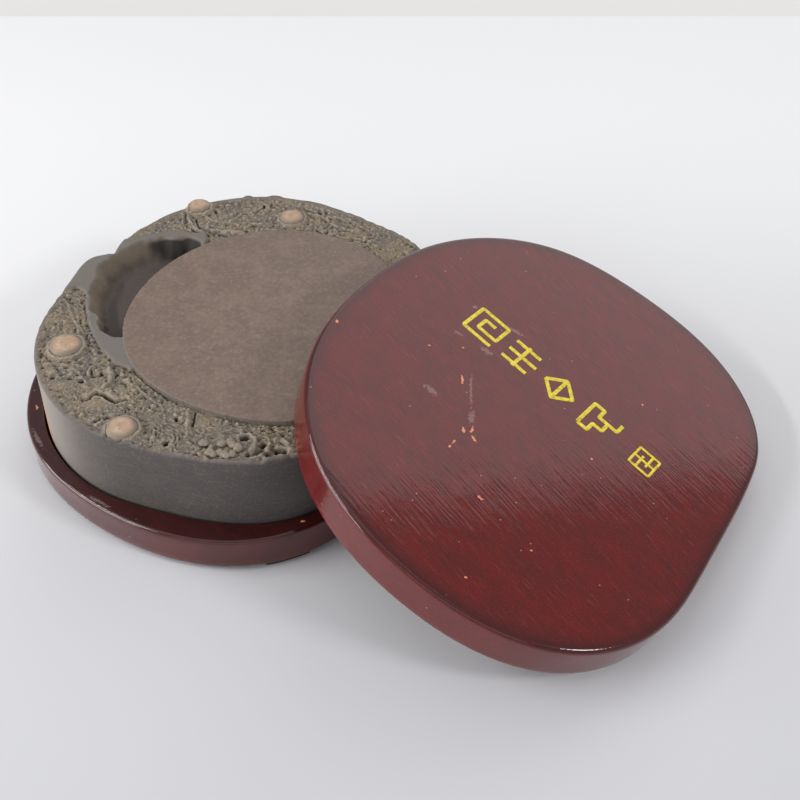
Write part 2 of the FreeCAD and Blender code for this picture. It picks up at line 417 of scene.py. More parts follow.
# cut lines: half width, floor against the plain level, points
cuts = [
    (0.9, -4.4, [(-59.9, -54.2), (-56.4, -54.2), (-54.1, -51.9), (-52.8, -50.2)]),
    (1.0, -4.6, [(-53, -50.6), (-50.1, -51.1), (-47.3, -53.4), (-43.9, -55.1), (-40.4, -54.2)]),
    (0.8, -4.2, [(-46.1, -39.4), (-46.9, -42.4), (-46.5, -45.4)]),
    (0.7, -3.8, [(-58.6, -39.6), (-55.4, -40.6), (-52.6, -39.2)]),
    (0.6, -3.6, [(-44.6, -66), (-47.2, -64.6), (-50.4, -67.2)]),
    (0.6, -3.6, [(-11.6, -61.6), (-11.7, -66), (-11.9, -70.8)]),
    (0.45, -3.0, [(-30.6, -47.6), (-24, -53.6), (-17, -58.4), (-11, -61.4)]),
    (1.2, -5.4, [(11.6, -84.4), (15.2, -82.8), (16.8, -79.6)]),
    (1.3, -5.6, [(19, -84.4), (21.6, -82.8), (24.6, -82.6)]),
    (0.6, -3.8, [(-22.9, 81.4), (-20.6, 78.6), (-19.3, 75.7)]),
    (0.7, -4.4, [(-16, 58.6), (-10.6, 57.6), (-6.6, 58.4)]),
    (0.6, -4.0, [(2.9, 82.9), (2.4, 80.4), (-1, 76.8)]),
    (0.9, -4.8, [(40.2, 55.2), (45.7, 53.8), (52.4, 52.8)]),
    (0.7, -4.6, [(26.6, 59), (24.8, 56.8)]),
    (0.7, -4.2, [(29.6, 61.6), (32.4, 58.6), (36, 56.2)]),
    (0.6, -3.8, [(22.6, 79.4), (27.2, 76.2), (31.6, 75)]),
    (0.5, -3.4, [(-28.6, 71), (-26.4, 65), (-23.2, 61)]),
    (0.6, -3.8, [(-36.4, -78.6), (-33, -77.4), (-31.4, -74)]),
]
# nested arcs of the cloud scrolls: middle, radii, start and end in degrees, half width, top
scrolls = [
    (-28.6, -72.4, (2.6, 4.2, 5.7), -25, 125, 0.52, -0.1),
    (-20.9, -76.6, (2.9, 4.4, 5.8), -60, 135, 0.5, -0.1),
    (-65.9, -53.6, (2.3, 3.8, 5.3), 10, 190, 0.5, -0.1),
    (-61.6, -54.2, (1.9, 3.1), -20, 150, 0.45, -0.3),
    (-72.7, 10.2, (1.9,), 0, 340, 0.5, -0.2),
    (-74.7, -7.1, (2.2,), 20, 360, 0.5, -0.3),
    (-78.2, 6.9, (1.4,), 0, 330, 0.45, -0.3),
    (-60.2, -18.8, (2.3,), 0, 350, 0.5, -0.1),
    (-79.4, -15.6, (2.3, 1.1), 0, 330, 0.5, -0.5),
    (1.4, -67.6, (1.4, 2.6), 0, 350, 0.45, -0.1),
    (-3.2, -68.2, (1.2, 2.4), 60, 300, 0.4, -0.3),
    (-17.4, -65.2, (2.4,), -60, 70, 0.6, 0.2),
    (-42.6, -62.6, (3.4, 4.6), 15, 165, 0.42, -0.4),
    (-54.1, -36.9, (2.4,), 40, 230, 0.7, -0.2),
    (-38.2, 63.6, (2.0, 3.2), 20, 200, 0.45, -0.4),
    (-46.5, 61.2, (1.8, 3.0), 0, 180, 0.45, -0.4),
    (12.2, 83.4, (1.2, 2.6), 0, 350, 0.4, -0.3),
    (44.4, 63.6, (1.8, 3.2), -30, 170, 0.5, -0.2),
    (55.0, 57.6, (2.0, 3.4), 0, 220, 0.5, -0.2),
]
# knobs: x, y, radius, top
knobs = [
    (-73.3, -38.0, 2.3, -0.3), (-65.0, -39.1, 2.0, -0.3), (-61.0, -41.4, 1.5, -0.4), (-65.7, -55.0, 1.3, -0.2),
    (-57.6, -47.4, 2.2, -0.4), (-57.0, -51.6, 2.0, -0.7), (-60.2, -18.8, 1.1, 0.1), (-58.7, -24.9, 1.2, -0.4),
    (-57.2, -27.4, 1.1, -0.4), (-56.2, -30.0, 1.3, -0.3), (-53.0, -32.9, 1.3, -0.4), (-59.9, -62.6, 1.4, -0.4),
    (-55.9, -63.4, 1.5, -0.4), (-52.4, -66.8, 1.4, -0.5), (-26.0, -75.9, 1.3, -0.2), (-16.4, -65.2, 1.2, 0.4),
    (-41.6, -43.2, 1.6, 0.0), (-38.8, -46.2, 1.1, 0.0), (-37.4, -49.6, 1.2, -0.1), (-34.6, -52.4, 1.2, -0.1),
    (-41.4, -57.2, 1.5, -0.3), (-37.4, -58.2, 1.2, -0.3), (-43.6, -40.4, 1.0, 0.1), (-28.4, -58.6, 1.2, -0.2),
    (1.4, -67.6, 0.9, 0.4), (5.6, -68.6, 1.0, 0.0), (-72.7, 10.2, 0.7, -0.2), (-74.7, -7.1, 0.9, -0.4),
    (-5.4, 79.0, 1.6, -0.3), (-12.6, 81.6, 1.8, -0.5), (-15.4, 64.4, 1.6, -0.4), (-1.8, 74.0, 1.6, -0.4),
    (4.6, 72.2, 1.7, -0.4), (8.2, 78.8, 1.5, -0.4), (44.6, 57.8, 1.7, 0.3), (48.6, 60.8, 1.8, 0.1),
    (52.4, 55.4, 1.6, 0.1), (54.6, 52.0, 1.4, 0.1), (38.4, 60.6, 1.4, 0.0), (57.4, 48.4, 1.4, 0.0),
]
pits = [
    (-72.1, -41.4, 1.2, -4.4), (-68.7, -39.7, 1.0, -4.6), (-65.0, -42.0, 1.0, -4.2), (-59.9, -43.6, 1.2, -5.0),
    (-52.1, -38.6, 1.3, -5.6), (-45.9, -64.6, 1.2, -5.6), (-49.9, -66.9, 1.0, -4.8), (-63.6, -17.5, 0.9, -4.4),
    (-20.5, -78.4, 1.9, -4.6), (-30.2, -72.6, 1.3, -4.0), (-18.4, -65.2, 1.2, -4.8), (-8.4, -85.0, 1.0, -4.4),
    (9.0, -75.8, 1.7, -6.0), (14.6, -81.6, 1.6, -6.0), (20.6, -83.6, 1.8, -6.0), (20.4, -72.6, 0.8, -4.0),
    (23.8, -74.2, 0.9, -4.0), (26.4, -72.4, 0.7, -3.6), (-1.0, 76.8, 1.1, -5.2), (-43.6, -55.1, 1.4, -5.4),
    (-7.8, 58.6, 1.1, -5.0), (34.2, 60.2, 1.2, -5.2), (46.2, 53.9, 1.3, -5.6), (56.4, 42.8, 1.0, -4.6),
    (52.0, 47.6, 1.1, -4.6), (-42.4, -41.4, 0.8, -4.0), (-58.2, -33.2, 0.9, -3.8), (30.0, 76.4, 0.9, -4.2),
]
# smooth swellings: middle, half length, half width, turn, top
lobes = [
    (-67.6, -45.6, 8.6, 3.6, 8, -0.8), (-50.8, -56.8, 7.2, 3.2, 6, -0.9), (-43.8, -47.4, 3.2, 3.4, 0, -1.3),
    (-8.0, -66.6, 3.4, 4.6, 0, -1.2), (-62.6, -29.4, 4.6, 3.0, -30, -1.2), (-30.6, -64.6, 4.2, 2.6, -20, -1.2),
    (-21.6, -70.2, 4.4, 2.0, -10, -1.3), (12.6, 87.6, 14, 2.6, -8, -0.9), (-11, 86.4, 12, 2.6, 9, -1.0),
    (-48, 66.4, 7, 2.6, 38, -1.0), (46, 78, 10, 2.4, -32, -1.0),
]


def farSide(bearing):
    # 1 along the far edge, which stands a little higher and sharper
    return smoothStep(48, 66, bearing) * smoothStep(128, 116, bearing)


stoneRadius = readOutline("inkstone", stoneShape["foot"])
discRadius = readOutline("inkstone", stoneShape["discTop"])


def carveBorder(x, y, fromRim, fromDisc):
    # heights against the plain level, millimetres, and how much of each spot is carved
    ground = stoneShape["carvedGround"]
    plain = polygonDistance(x, y, plainPatch) + 0.5 * softNoise(x, y, 2.3, 3)
    carved = smoothStep(0.7, -0.5, plain) * smoothStep(0, 0.8, fromRim - stoneShape["edgeBand"]
                                                      - 0.5 * softNoise(x, y, 3.1, 5))
    # knobbed ground, in finer grain on the far side, running in drifts on the near side
    warpX = x + 1.3 * softNoise(x, y, 5.5, 11)
    warpY = y + 1.3 * softNoise(x, y, 5.5, 12)
    far = smoothStep(20, 50, y)
    fine = cellField(warpX, warpY, 2.7, 21)
    broad = cellField(warpX, warpY * 1.6, 6.4, 22)
    pebble = 1.35 * (1 - np.clip(fine[0] / (0.62 * 2.7), 0, 1) ** 2) * (0.35 + 0.65 * fine[2])
    ringWave = np.cos(broad[0] * 2 * math.pi / 1.9) * smoothStep(4.6, 2.2, broad[0])
    drift = (0.55 * ringWave + 0.5 * (1 - np.clip(broad[0] / 4.2, 0, 1))
             + 0.35 * softNoise(warpX, warpY * 2, 1.7, 14))
    quiet = 0.55 + 0.45 * softNoise(x, y, 9, 17)
    height = ground + (far * pebble + (1 - far) * (0.45 * pebble + 0.75 * drift)) * quiet
    height += 0.4 * softNoise(x, y, 1.15, 31) + 0.3 * softNoise(x, y, 3.4, 32)
    # sharp little chisel cuts: the dark lines between the forms
    crack = cellField(warpX, warpY, 3.6, 23)
    height -= 0.6 * smoothStep(0.45, 0.1, crack[1] - crack[0]) * quiet
    height -= 0.9 * smoothStep(1.1, 0.3, fromDisc)

    def near(points, reach):
        lo, hi = np.min(points, 0) - reach, np.max(points, 0) + reach
        return np.nonzero((x > lo[0]) & (x < hi[0]) & (y > lo[1]) & (y < hi[1]))

    def trackDistance(track, spot):
        best = np.full(spot[0].shape, farAway)
        for px, py in track:
            best = np.minimum(best, (x[spot] - px) ** 2 + (y[spot] - py) ** 2)
        return np.sqrt(best)

    for mx, my, long, wide, turn, top in lobes:
        a = math.radians(turn)
        u = ((x - mx) * math.cos(a) + (y - my) * math.sin(a)) / long
        v = ((y - my) * math.cos(a) - (x - mx) * math.sin(a)) / wide
        inside = smoothStep(1.12, 0.8, np.hypot(u, v))
        swell = top - 0.8 * (u * u + v * v) + 0.08 * softNoise(x, y, 1.4, 41)
        height = height * (1 - inside) + swell * inside
    for wide, floor, points in cuts:
        track = smoothLine(points)
        spot = near(track, wide * 2.2)
        d = trackDistance(track, spot) / wide
        height[spot] = np.minimum(height[spot], floor + 2.4 * d ** 2)
    for mx, my, radius, floor in pits:
        spot = near(np.array([[mx, my]]), radius * 2)
        d = np.hypot(x[spot] - mx, (y[spot] - my) * 1.15) / radius
        height[spot] = np.minimum(height[spot], floor + 2.6 * d ** 2.5)
    lines = [(wide, top, smoothLine(points)) for wide, top, points in ridges]
    for mx, my, radii, start, end, wide, top in scrolls:
        for number, radius in enumerate(radii):
            a = np.radians(np.linspace(start, end, max(6, int(radius * 8))))
            track = np.stack([mx + radius * np.cos(a), my + radius * np.sin(a)], -1)
            lines.append((wide, top - 0.12 * number, track))
    chip = softNoise(x, y, 1.5, 33)
    for wide, top, track in lines:
        spot = near(track, wide * 2)
        d = trackDistance(track, spot) / (wide * (0.68 + 0.42 * softNoise(x[spot], y[spot], 2.7, 34)))
        crest = top - 0.2 + 0.55 * chip[spot]
        height[spot] = np.maximum(height[spot], crest - 0.75 * d - 0.6 * np.clip(d - 0.7, 0, 9) ** 1.3)
    for mx, my, radius, top in knobs:
        spot = near(np.array([[mx, my]]), radius * 1.5)
        d = np.hypot(x[spot] - mx, y[spot] - my) / radius
        height[spot] = np.maximum(height[spot], top - 0.2 + 0.35 * chip[spot] - 0.8 * d ** 1.6
                                  - 1.5 * np.clip(d - 0.9, 0, 9))
    for mx, my, radius in eyes:
        d = np.hypot(x - mx, y - my) - radius
        collar = 0.3 - 0.75 * np.clip(d - 0.2, 0, 9) ** 1.1 + 0.45 * softNoise(x, y, 1.9, 51)
        height = np.where(d < 3.2, np.maximum(height, collar), height)
        height = np.minimum(height, np.where(d < 0.85, -0.3 + 2.2 * np.abs(d - 0.12) ** 1.2, 9))
        height = np.where(d < -0.3, -1.4, height)
    height = np.minimum(height + 0.2 * softNoise(x, y, 0.95, 36), 1.0)
    bearing = np.degrees(np.arctan2(y, x))
    height += stoneShape["backLift"] * smoothStep(6, 1, fromRim) * farSide(bearing)
    plainHeight = 0.07 * softNoise(x, y, 6.5, 61) + 0.03 * softNoise(x, y, 1.9, 62)
    height = plainHeight * (1 - carved) + height * carved
    # well
    inWell = polygonDistance(x, y, wellLip) + 0.35 * softNoise(x, y, 2.6, 71)
    bank = 1.6 + 5.4 * smoothStep(-6, 6, y)
    scoop = smoothStep(0, 1, np.clip(inWell / bank, 0, 1)) ** 0.8
    rough = (0.45 * softNoise(x, y, 2.2, 72) * np.clip(inWell, 0, 1)
             * (1 - smoothStep(0.7, 1.1, inWell / bank)))
    height = height - stoneShape["wellDepth"] * scoop + rough
    return height, carved, np.clip(inWell / bank, 0, 1)


def makeInkstone():
    s = stoneShape
    count = s["around"]
    theta = np.linspace(0, 2 * math.pi, count, endpoint=False)
    rim = stoneRadius(theta) - s["flare"]
    disc = discRadius(theta) + 0.6
    rings, marks = [], []     # marks: carved, raised, disc face, flank, well
    degrees = (np.degrees(theta) + 180) % 360 - 180
    shoulder = s["shoulder"] * (1 - 0.5 * farSide(degrees))

    def add(radius, height, carved=0.0, raised=0.0, face=0.0, flank=0.0, well=0.0):
        rings.append(polar(theta, radius, height))
        marks.append([np.broadcast_to(np.asarray(m, float), theta.shape)
                      for m in (carved, raised, face, flank, well)])

    for share in (0.12, 0.3, 0.5, 0.68, 0.82, 0.92):
        bowl = s["discDish"] * (1 - share ** 2) ** 1.3
        add((disc - 0.6) * share, s["discTop"] - bowl, face=1.0)
    # the disc's rounded rim gets a little painted highlight through its raised mark
    for lean in (0, 30, 60, 90):
        a = math.radians(lean)
        worn = 0.12 * softNoise(disc * np.cos(theta), disc * np.sin(theta), 4.2, 81)
        add(disc - 0.6 + 0.6 * math.sin(a), s["discTop"] - 0.6 + 0.6 * math.cos(a) - 0.5 * abs(worn),
            face=0.6 if lean in (30, 60) else 1.0 - lean / 120, raised=0.22 if lean in (30, 60) else 0.0)
    inner, outer = disc + 0.12, rim - shoulder
    rows = s["borderRows"]
    t = np.linspace(0, 1, rows)[:, None]
    radius = inner + t * (outer - inner)
    x, y = radius * np.cos(theta), radius * np.sin(theta)
    height, carved, well = carveBorder(x, y, rim - radius, radius - disc)
    # painted light: what stands above its surroundings is painted paler, as highlight with some wear, and what
    # lies below is painted darker, as shade
    padded = np.concatenate([np.repeat(height[:1], 4, 0), height, np.repeat(height[-1:], 4, 0)])
    blurred = sum(padded[k:k + rows] for k in range(9)) / 9
    blurred = sum(np.roll(blurred, k, 1) for k in range(-3, 4)) / 7
    raised = np.clip((height - blurred) / 0.9, -1, 1) * np.maximum(carved, 0.25)
    # the side of the disc, deep where the well drops away beside it
    brink = s["discTop"] - 0.6
    for share in (0.25, 0.5, 0.75):
        add(disc + 0.12 * share, brink + (s["plainTop"] + height[0] - brink) * share,
            carved[0] * share, face=0.25 * (1 - share), well=well[0] * share)
    for k in range(rows):
        add(radius[k], s["plainTop"] + height[k], carved[k], raised[k], well=well[k])
    edge = height[-1]
    bumps = sum(top * np.exp(-((np.mod(theta - math.radians(at) + math.pi, 2 * math.pi) - math.pi)
                               / math.radians(wide)) ** 4)
                for at, wide, top in ((93.4, 1.3, 0.9), (84.6, 2.2, 0.9), (71, 4.5, 0.5), (131, 2, 0.4),
                                      (60.5, 1.0, -0.5), (110, 2.4, -0.4), (188, 3, -0.3)))
    # the outer shoulder gets a faint painted highlight through its raised mark
    for lean in (18, 36, 54, 72, 90):
        a = math.radians(lean)
        fade = 1 - lean / 90
        add(outer + shoulder * math.sin(a) + 0.35 * bumps * fade,
            s["plainTop"] - shoulder * (1 - math.cos(a)) + (edge + bumps) * (0.2 + 0.8 * fade),
            carved=carved[-1] * fade, raised=0.18, flank=lean / 90)
    side = s["plainTop"] - shoulder + (edge + bumps) * 0.2
    for share in (0.15, 0.35, 0.6, 0.85):
        dent = 0.14 * softNoise(theta * 88, np.full(count, share * 38), 14, 91)
        add(rim + s["flare"] * share + dent, side + (s["foot"] + 1.0 - side) * share, flank=1.0)
    add(rim + s["flare"], s["foot"] + 0.8, flank=1.0)
    add(rim + s["flare"] - 0.8, s["foot"], flank=1.0)
    add((rim + s["flare"]) * 0.5, s["foot"], flank=1.0)
    rings, marks = np.array(rings), np.array(marks)
    names = ("carved", "raised", "discFace", "flank", "wellInside")
    attributes = {name: marks[:, k, :] for k, name in enumerate(names)}
    # rust-brown skin low on the left flank
    bearing = np.broadcast_to(np.degrees(theta), rings.shape[:2])
    low = rings[:, :, 2]
    skin = np.exp(-((bearing - 204) / 9) ** 2) * smoothStep(48, 24, low) * marks[:, 3, :]
    attributes["ironSkin"] = skin
    # painted light: the flank painted paler down the left side, as if lit from that side
    attributes["lit"] = np.exp(-((bearing - 203) / 26) ** 2) * marks[:, 3, :]
    # painted shade: the far end of the well darkened, where the far bank shades it
    x, y = rings[:, :, 0] - trayMiddle[0], rings[:, :, 1] - trayMiddle[1]
    farShade = np.exp(-(((x + 27) / 9) ** 2 + ((y - 52) / 5.5) ** 2)) + 0.75 * np.exp(
        -(((x + 40) / 10) ** 2 + ((y - 53) / 4) ** 2))
    farShade = farShade * (1 + 0.3 * softNoise(x, y, 3.3, 73))
    attributes["paintedWellShade"] = np.clip(farShade * 1.4 * smoothStep(0.05, 0.3, marks[:, 4, :]), 0, 1)
    return ringSolid("inkstoneBody", rings, attributes)


print("carving the inkstone")
inkstoneBody = makeInkstone()


# slate: honed on the disc, chiselled and dusty in the border; painted highlight, with some wear, on every
# raised edge and painted shade in every hollow;
# a dull sheen on the honed disc, none in the chiselled border
slateLook = {
    "marks": ("carved", "raised", "discFace", "flank", "wellInside", "ironSkin", "paintedWellShade", "lit"),
    "ground": "#6c6661",
    # the finest grit is drawn coarser than it is, so that it shows
    "grains": [
        ("clouds", (16, 16, 16), 0, 4.0, 0.55), ("speck", (1.0, 1.0, 1.0), 0, 3.0, 0.65),
        ("grit", (0.7, 0.7, 0.7), 0, 4.0, 0.7), ("chisel", (1.1, 1.1, 1.1), 0, 3.0, 0.6),
        ("discGrain", (1.7, 1.7, 1.7), 0, 4.0, 0.75), ("discPits", (1.1, 1.1, 1.1), 0, 2.0, 0.55),
        ("sawn", (9, 9, 0.7), 0, 3.0, 0.6), ("patches", (11, 11, 11), 0, 3.0, 0.6),
    ],
    "coats": [
        ("clouds", 0.35, 0.65, 0.6, None, "#69625b"),
        ("carved", 0.0, 1.0, 1.0, None, "#6d645b"), ("clouds", 0.38, 0.66, 0.8, "carved", "#84755f"),
        ("speck", 0.52, 0.7, 0.7, "carved", "#a89d8e"), ("speck", 0.47, 0.3, 0.6, "carved", "#483f37"),
        # raised: painted shade in the hollows and painted highlight on the ridges
        ("raised", -0.12, -0.74, 0.88, None, "#2b241f"), ("raised", 0.14, 0.7, 0.62, None, "#a09485"),
        ("wellInside", 0.02, 0.22, 1.0, None, "#6f6355"), ("speck", 0.35, 0.65, 0.6, "wellInside", "#80725f"),
        ("wellInside", 0.3, 0.75, 0.8, None, "#483e37"), ("wellInside", 0.62, 0.97, 1.0, None, "#564c48"),
        ("discGrain", 0.45, 0.65, 0.4, "wellInside", "#463d3a"),
        # painted shade at the far end of the well
        ("paintedWellShade", 0.1, 0.9, 0.92, None, "#1d1815"),
        ("discFace", 0.0, 1.0, 1.0, None, "#756358"), ("patches", 0.38, 0.58, 0.6, "discFace", "#66574e"),
        ("discGrain", 0.5, 0.66, 0.5, "discFace", "#8c796c"),
        ("discGrain", 0.45, 0.33, 0.5, "discFace", "#574a43"),
        ("discPits", 0.62, 0.72, 0.5, "discFace", "#4f433c"),
        ("flank", 0.0, 1.0, 1.0, None, "#4b4644"), ("patches", 0.4, 0.66, 0.4, "flank", "#57514d"),
        ("sawn", 0.52, 0.72, 0.4, "flank", "#625b56"), ("speck", 0.52, 0.72, 0.5, "flank", "#736b65"),
        # lit: painted light on the left flank
        ("lit", 0.0, 1.0, 0.85, "flank", "#958c85"), ("ironSkin", 0.1, 1.0, 0.6, None, "#b58565"),
    ],
    "rough": ("discFace", 0.0, 1.0, 0.74, 0.55),
    "bumps": [("grit", 0.14, 0.4, None), ("sawn", 0.1, 0.2, None), ("chisel", 0.6, 0.95, "carved")],
    "fixed": {"Specular IOR Level": 0.4},
}
inkstoneBody.data.materials.append(makeSkin("slateHonedAndCarved", slateLook))
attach(inkstoneBody, "inkstone")
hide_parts("inkstone")


# stone eyes: pale natural spots left standing, rubbed smooth, rings of tone round a darker heart

eyeShape = {
    "rise": 1.7, "around": 96, "uneven": 0.12,
    # share of the radius, drop from the top
    "profile": [(0.05, 0.26), (0.1, 0.2), (0.16, 0.09), (0.3, 0.04), (0.45, 0.1), (0.56, 0.22), (0.63, 0.34),
                (0.7, 0.4), (0.78, 0.56), (0.85, 0.8), (0.91, 1.08), (0.96, 1.45), (0.99, 1.9), (0.995, 3.2)],
}
eyeLook = {
    "marks": ("outward",), "ground": "#aa8f77",
    "grains": [("cloud", (2.4, 2.4, 2.4), 0, 3.0, 0.55), ("speck", (0.9, 0.9, 0.9), 0, 2.0, 0.5),
               ("rust", (5, 5, 5), 0, 3.0, 0.6)],
    "coats": [
        ("outward", 0.4, 0.06, 0.4, None, "#987262"), ("cloud", 0.45, 0.7, 0.6, None, "#bca691"),
        ("rust", 0.5, 0.66, 0.45, None, "#a57e5b"), ("outward", 0.5, 0.66, 0.4, None, "#978068"),
        ("speck", 0.55, 0.7, 0.6, None, "#7f6c5a"), ("outward", 0.62, 0.94, 0.9, None, "#776b5d"),
        ("outward", 0.99, 1.04, 0.6, None, "#2f2823"),
    ],
    "rough": 0.58, "bumps": [("cloud", 0.14, 0.4, None)],
}
eyeStone = makeSkin("eyeStoneRubbed", eyeLook)


def makeEye(number, mx, my, radius):
    theta = np.linspace(0, 2 * math.pi, eyeShape["around"], endpoint=False)
    wobble = 1 + 0.022 * np.sin(2 * theta + number) + 0.016 * np.sin(3 * theta + 2 * number)
    top = stoneShape["plainTop"] + eyeShape["rise"]
    rings, outward = [], []
    for share, drop in eyeShape["profile"]:
        r = radius * share * (wobble if share > 0.2 else 1)
        rough = softNoise(mx + r * np.cos(theta), my + r * np.sin(theta), 1.5, 95) * (share > 0.1)
        x, y = trayMiddle[0] + mx + r * np.cos(theta), trayMiddle[1] + my + r * np.sin(theta)
        rings.append(np.stack([x, y, top - drop + eyeShape["uneven"] * rough], -1))
        outward.append(share + 0.09 * softNoise(x, y, 2.3, 96 + number) * (share > 0.2))
    eye = ringSolid("stoneEye%d" % number, np.array(rings), {"outward": np.array(outward)}, eyeStone)
    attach(eye, "inkstone")
    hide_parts("stone_eye_%d" % number)


for number, (mx, my, radius) in enumerate(eyes, 1):
    makeEye(number, mx, my, radius)
print("stone eyes set")


# front knobs: a string of little carved beads along the near edge

beadLine = {
    "path": [(-6.6, -79.6), (-3.8, -82.0), (-4.6, -86.0), (0.2, -84.4), (3.8, -86.2), (7.2, -82.6),
             (4.2, -79.0), (0.2, -79.6)],
    "count": 19, "radius": 1.5, "uneven": 0.3, "stray": 1.0, "sink": 0.9, "flat": 0.85,
    "lump": 0.6, "lumpScale": 420.0, "seed": 7,
}


def newGroup(name, sockets):
    group = bpy.data.node_groups.new(name, "GeometryNodeTree")
    group.interface.new_socket("Geometry", in_out="INPUT", socket_type="NodeSocketGeometry")
    for label, kind in sockets:
        group.interface.new_socket(label, in_out="INPUT", socket_type=kind)
    group.interface.new_socket("Geometry", in_out="OUTPUT", socket_type="NodeSocketGeometry")
    return group, group.nodes.new("NodeGroupInput").outputs, group.nodes.new("NodeGroupOutput").inputs


def growPiece(name, mesh, group, values, material):
    # run the tree on the mesh with its named sizes, and keep the result as a plain mesh
    seedThing = newObject(name + "Plan", mesh)
    modifier = seedThing.modifiers.new("grow", "NODES")
    modifier.node_group = group
    for item in group.interface.items_tree:
        if item.item_type == "SOCKET" and item.in_out == "INPUT" and item.name in values:
            modifier[item.identifier] = values[item.name]
    depsgraph = bpy.context.evaluated_depsgraph_get()
    depsgraph.update()
    grown = bpy.data.meshes.new_from_object(seedThing.evaluated_get(depsgraph))
    seedThing.modifiers.clear()
    bpy.data.objects.remove(seedThing)
    grown.name = name
    if material.name not in [m.name for m in grown.materials if m]:
        grown.materials.append(material)
    grown.polygons.foreach_set("use_smooth", np.ones(len(grown.polygons), bool))
    return newObject(name, grown)


def planMesh(name, chains, height=0.0, place=None):
    # chains of points, millimetres, as loose edges in metres
    points, edges = [], []
    for chain in chains:
        first = len(points)
        points += [(x, y, height) for x, y in chain]
        edges += [(first + k, first + k + 1) for k in range(len(chain) - 1)]
    points = [Vector(p) * mm for p in points]
    if place:
        points = [place @ p for p in points]
    mesh = bpy.data.meshes.new(name)
    mesh.from_pydata(points, edges, [])
    return mesh


def makeBeadTree(material):
    # beads strung along a path, each one strayed, sized and pulled out of round by chance
    group, given, result = newGroup("beadsAlongPath", [
        ("Count", "NodeSocketInt"), ("Bead radius", "NodeSocketFloat"), ("Uneven", "NodeSocketFloat"),
        ("Stray", "NodeSocketFloat"), ("Flat", "NodeSocketFloat"), ("Lump", "NodeSocketFloat"),
        ("Lump scale", "NodeSocketFloat"), ("Seed", "NodeSocketInt")])
    curve = addNode(group, "GeometryNodeMeshToCurve", {"Mesh": given["Geometry"]})
    spread = addNode(group, "GeometryNodeResampleCurve", {"Curve": curve, "Count": given["Count"]})
    dots = addNode(group, "GeometryNodeCurveToPoints", {"Curve": spread}, mode="EVALUATED")
    stray = addNode(group, "FunctionNodeRandomValue", {
        0: (-1.0, -1.0, -0.25), 1: (1.0, 1.0, 0.25), "Seed": given["Seed"]}, data_type="FLOAT_VECTOR")
    step = addNode(group, "ShaderNodeVectorMath", {0: stray, "Scale": given["Stray"]}, operation="SCALE")
    moved = addNode(group, "GeometryNodeSetPosition", {"Geometry": dots, "Offset": step})
    ball = addNode(group, "GeometryNodeMeshIcoSphere", {"Radius": given["Bead radius"], "Subdivisions": 4})
    lump = addNode(group, "ShaderNodeTexNoise", {"Scale": given["Lump scale"], "Detail": 1.0}, out="Color")
    shift = addNode(group, "ShaderNodeVectorMath", {0: lump, "Scale": given["Lump"]}, operation="SCALE")
    ball = addNode(group, "GeometryNodeSetPosition", {"Geometry": ball, "Offset": shift})
    low = addNode(group, "ShaderNodeMath", {0: 1.0, 1: given["Uneven"]}, operation="SUBTRACT")
    high = addNode(group, "ShaderNodeMath", {0: 1.0, 1: given["Uneven"]}, operation="ADD")
    size = addNode(group, "FunctionNodeRandomValue", {2: low, 3: high, "Seed": given["Seed"]}, out=1,
                   data_type="FLOAT")
    flat = addNode(group, "ShaderNodeCombineXYZ", {0: size, 1: size, 2: given["Flat"]})
    string = addNode(group, "GeometryNodeInstanceOnPoints", {
        "Points": moved, "Instance": ball, "Scale": flat})
    real = addNode(group, "GeometryNodeRealizeInstances", {"Geometry": string})
    coated = addNode(group, "GeometryNodeSetMaterial", {"Geometry": real, "Material": material})
    group.links.new(coated, result[0])
    return group


# the same slate, rubbed round on the beads; their low parts painted dark, as painted shade between and under
# them
beadLook = {
    "ground": "#7b7062",
    "grains": [("cloud", (1.2, 1.2, 1.2), 0, 4.0, 0.65), ("grit", (0.6, 0.6, 0.6), 0, 3.0, 0.6)],
    "coats": [
        ("cloud", 0.45, 0.7, 0.8, None, "#938776"), ("grit", 0.55, 0.7, 0.4, None, "#aaa192"),
        # z: painted shade on the low part of every bead
        ("grit", 0.45, 0.3, 0.5, None, "#51483f"), ("z", 0.0496, 0.0484, 0.95, None, "#231d19"),
    ],
    "rough": 0.66, "bumps": [("cloud", 0.3, 0.7, None)],
}
beadSlate = makeSkin("slateRubbedBeads", beadLook)
beadPath = [(x + trayMiddle[0], y + trayMiddle[1]) for x, y in beadLine["path"]]
beads = growPiece(
    "frontBeads", planMesh("beadPath", [beadPath], stoneShape["plainTop"] - beadLine["sink"]),
    makeBeadTree(beadSlate), {
        "Count": beadLine["count"], "Bead radius": beadLine["radius"] * mm, "Uneven": beadLine["uneven"],
        "Stray": beadLine["stray"] * mm, "Flat": beadLine["flat"], "Lump": beadLine["lump"] * mm,
        "Lump scale": beadLine["lumpScale"], "Seed": beadLine["seed"]}, beadSlate)
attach(beads, "inkstone")
print("front beads strung")


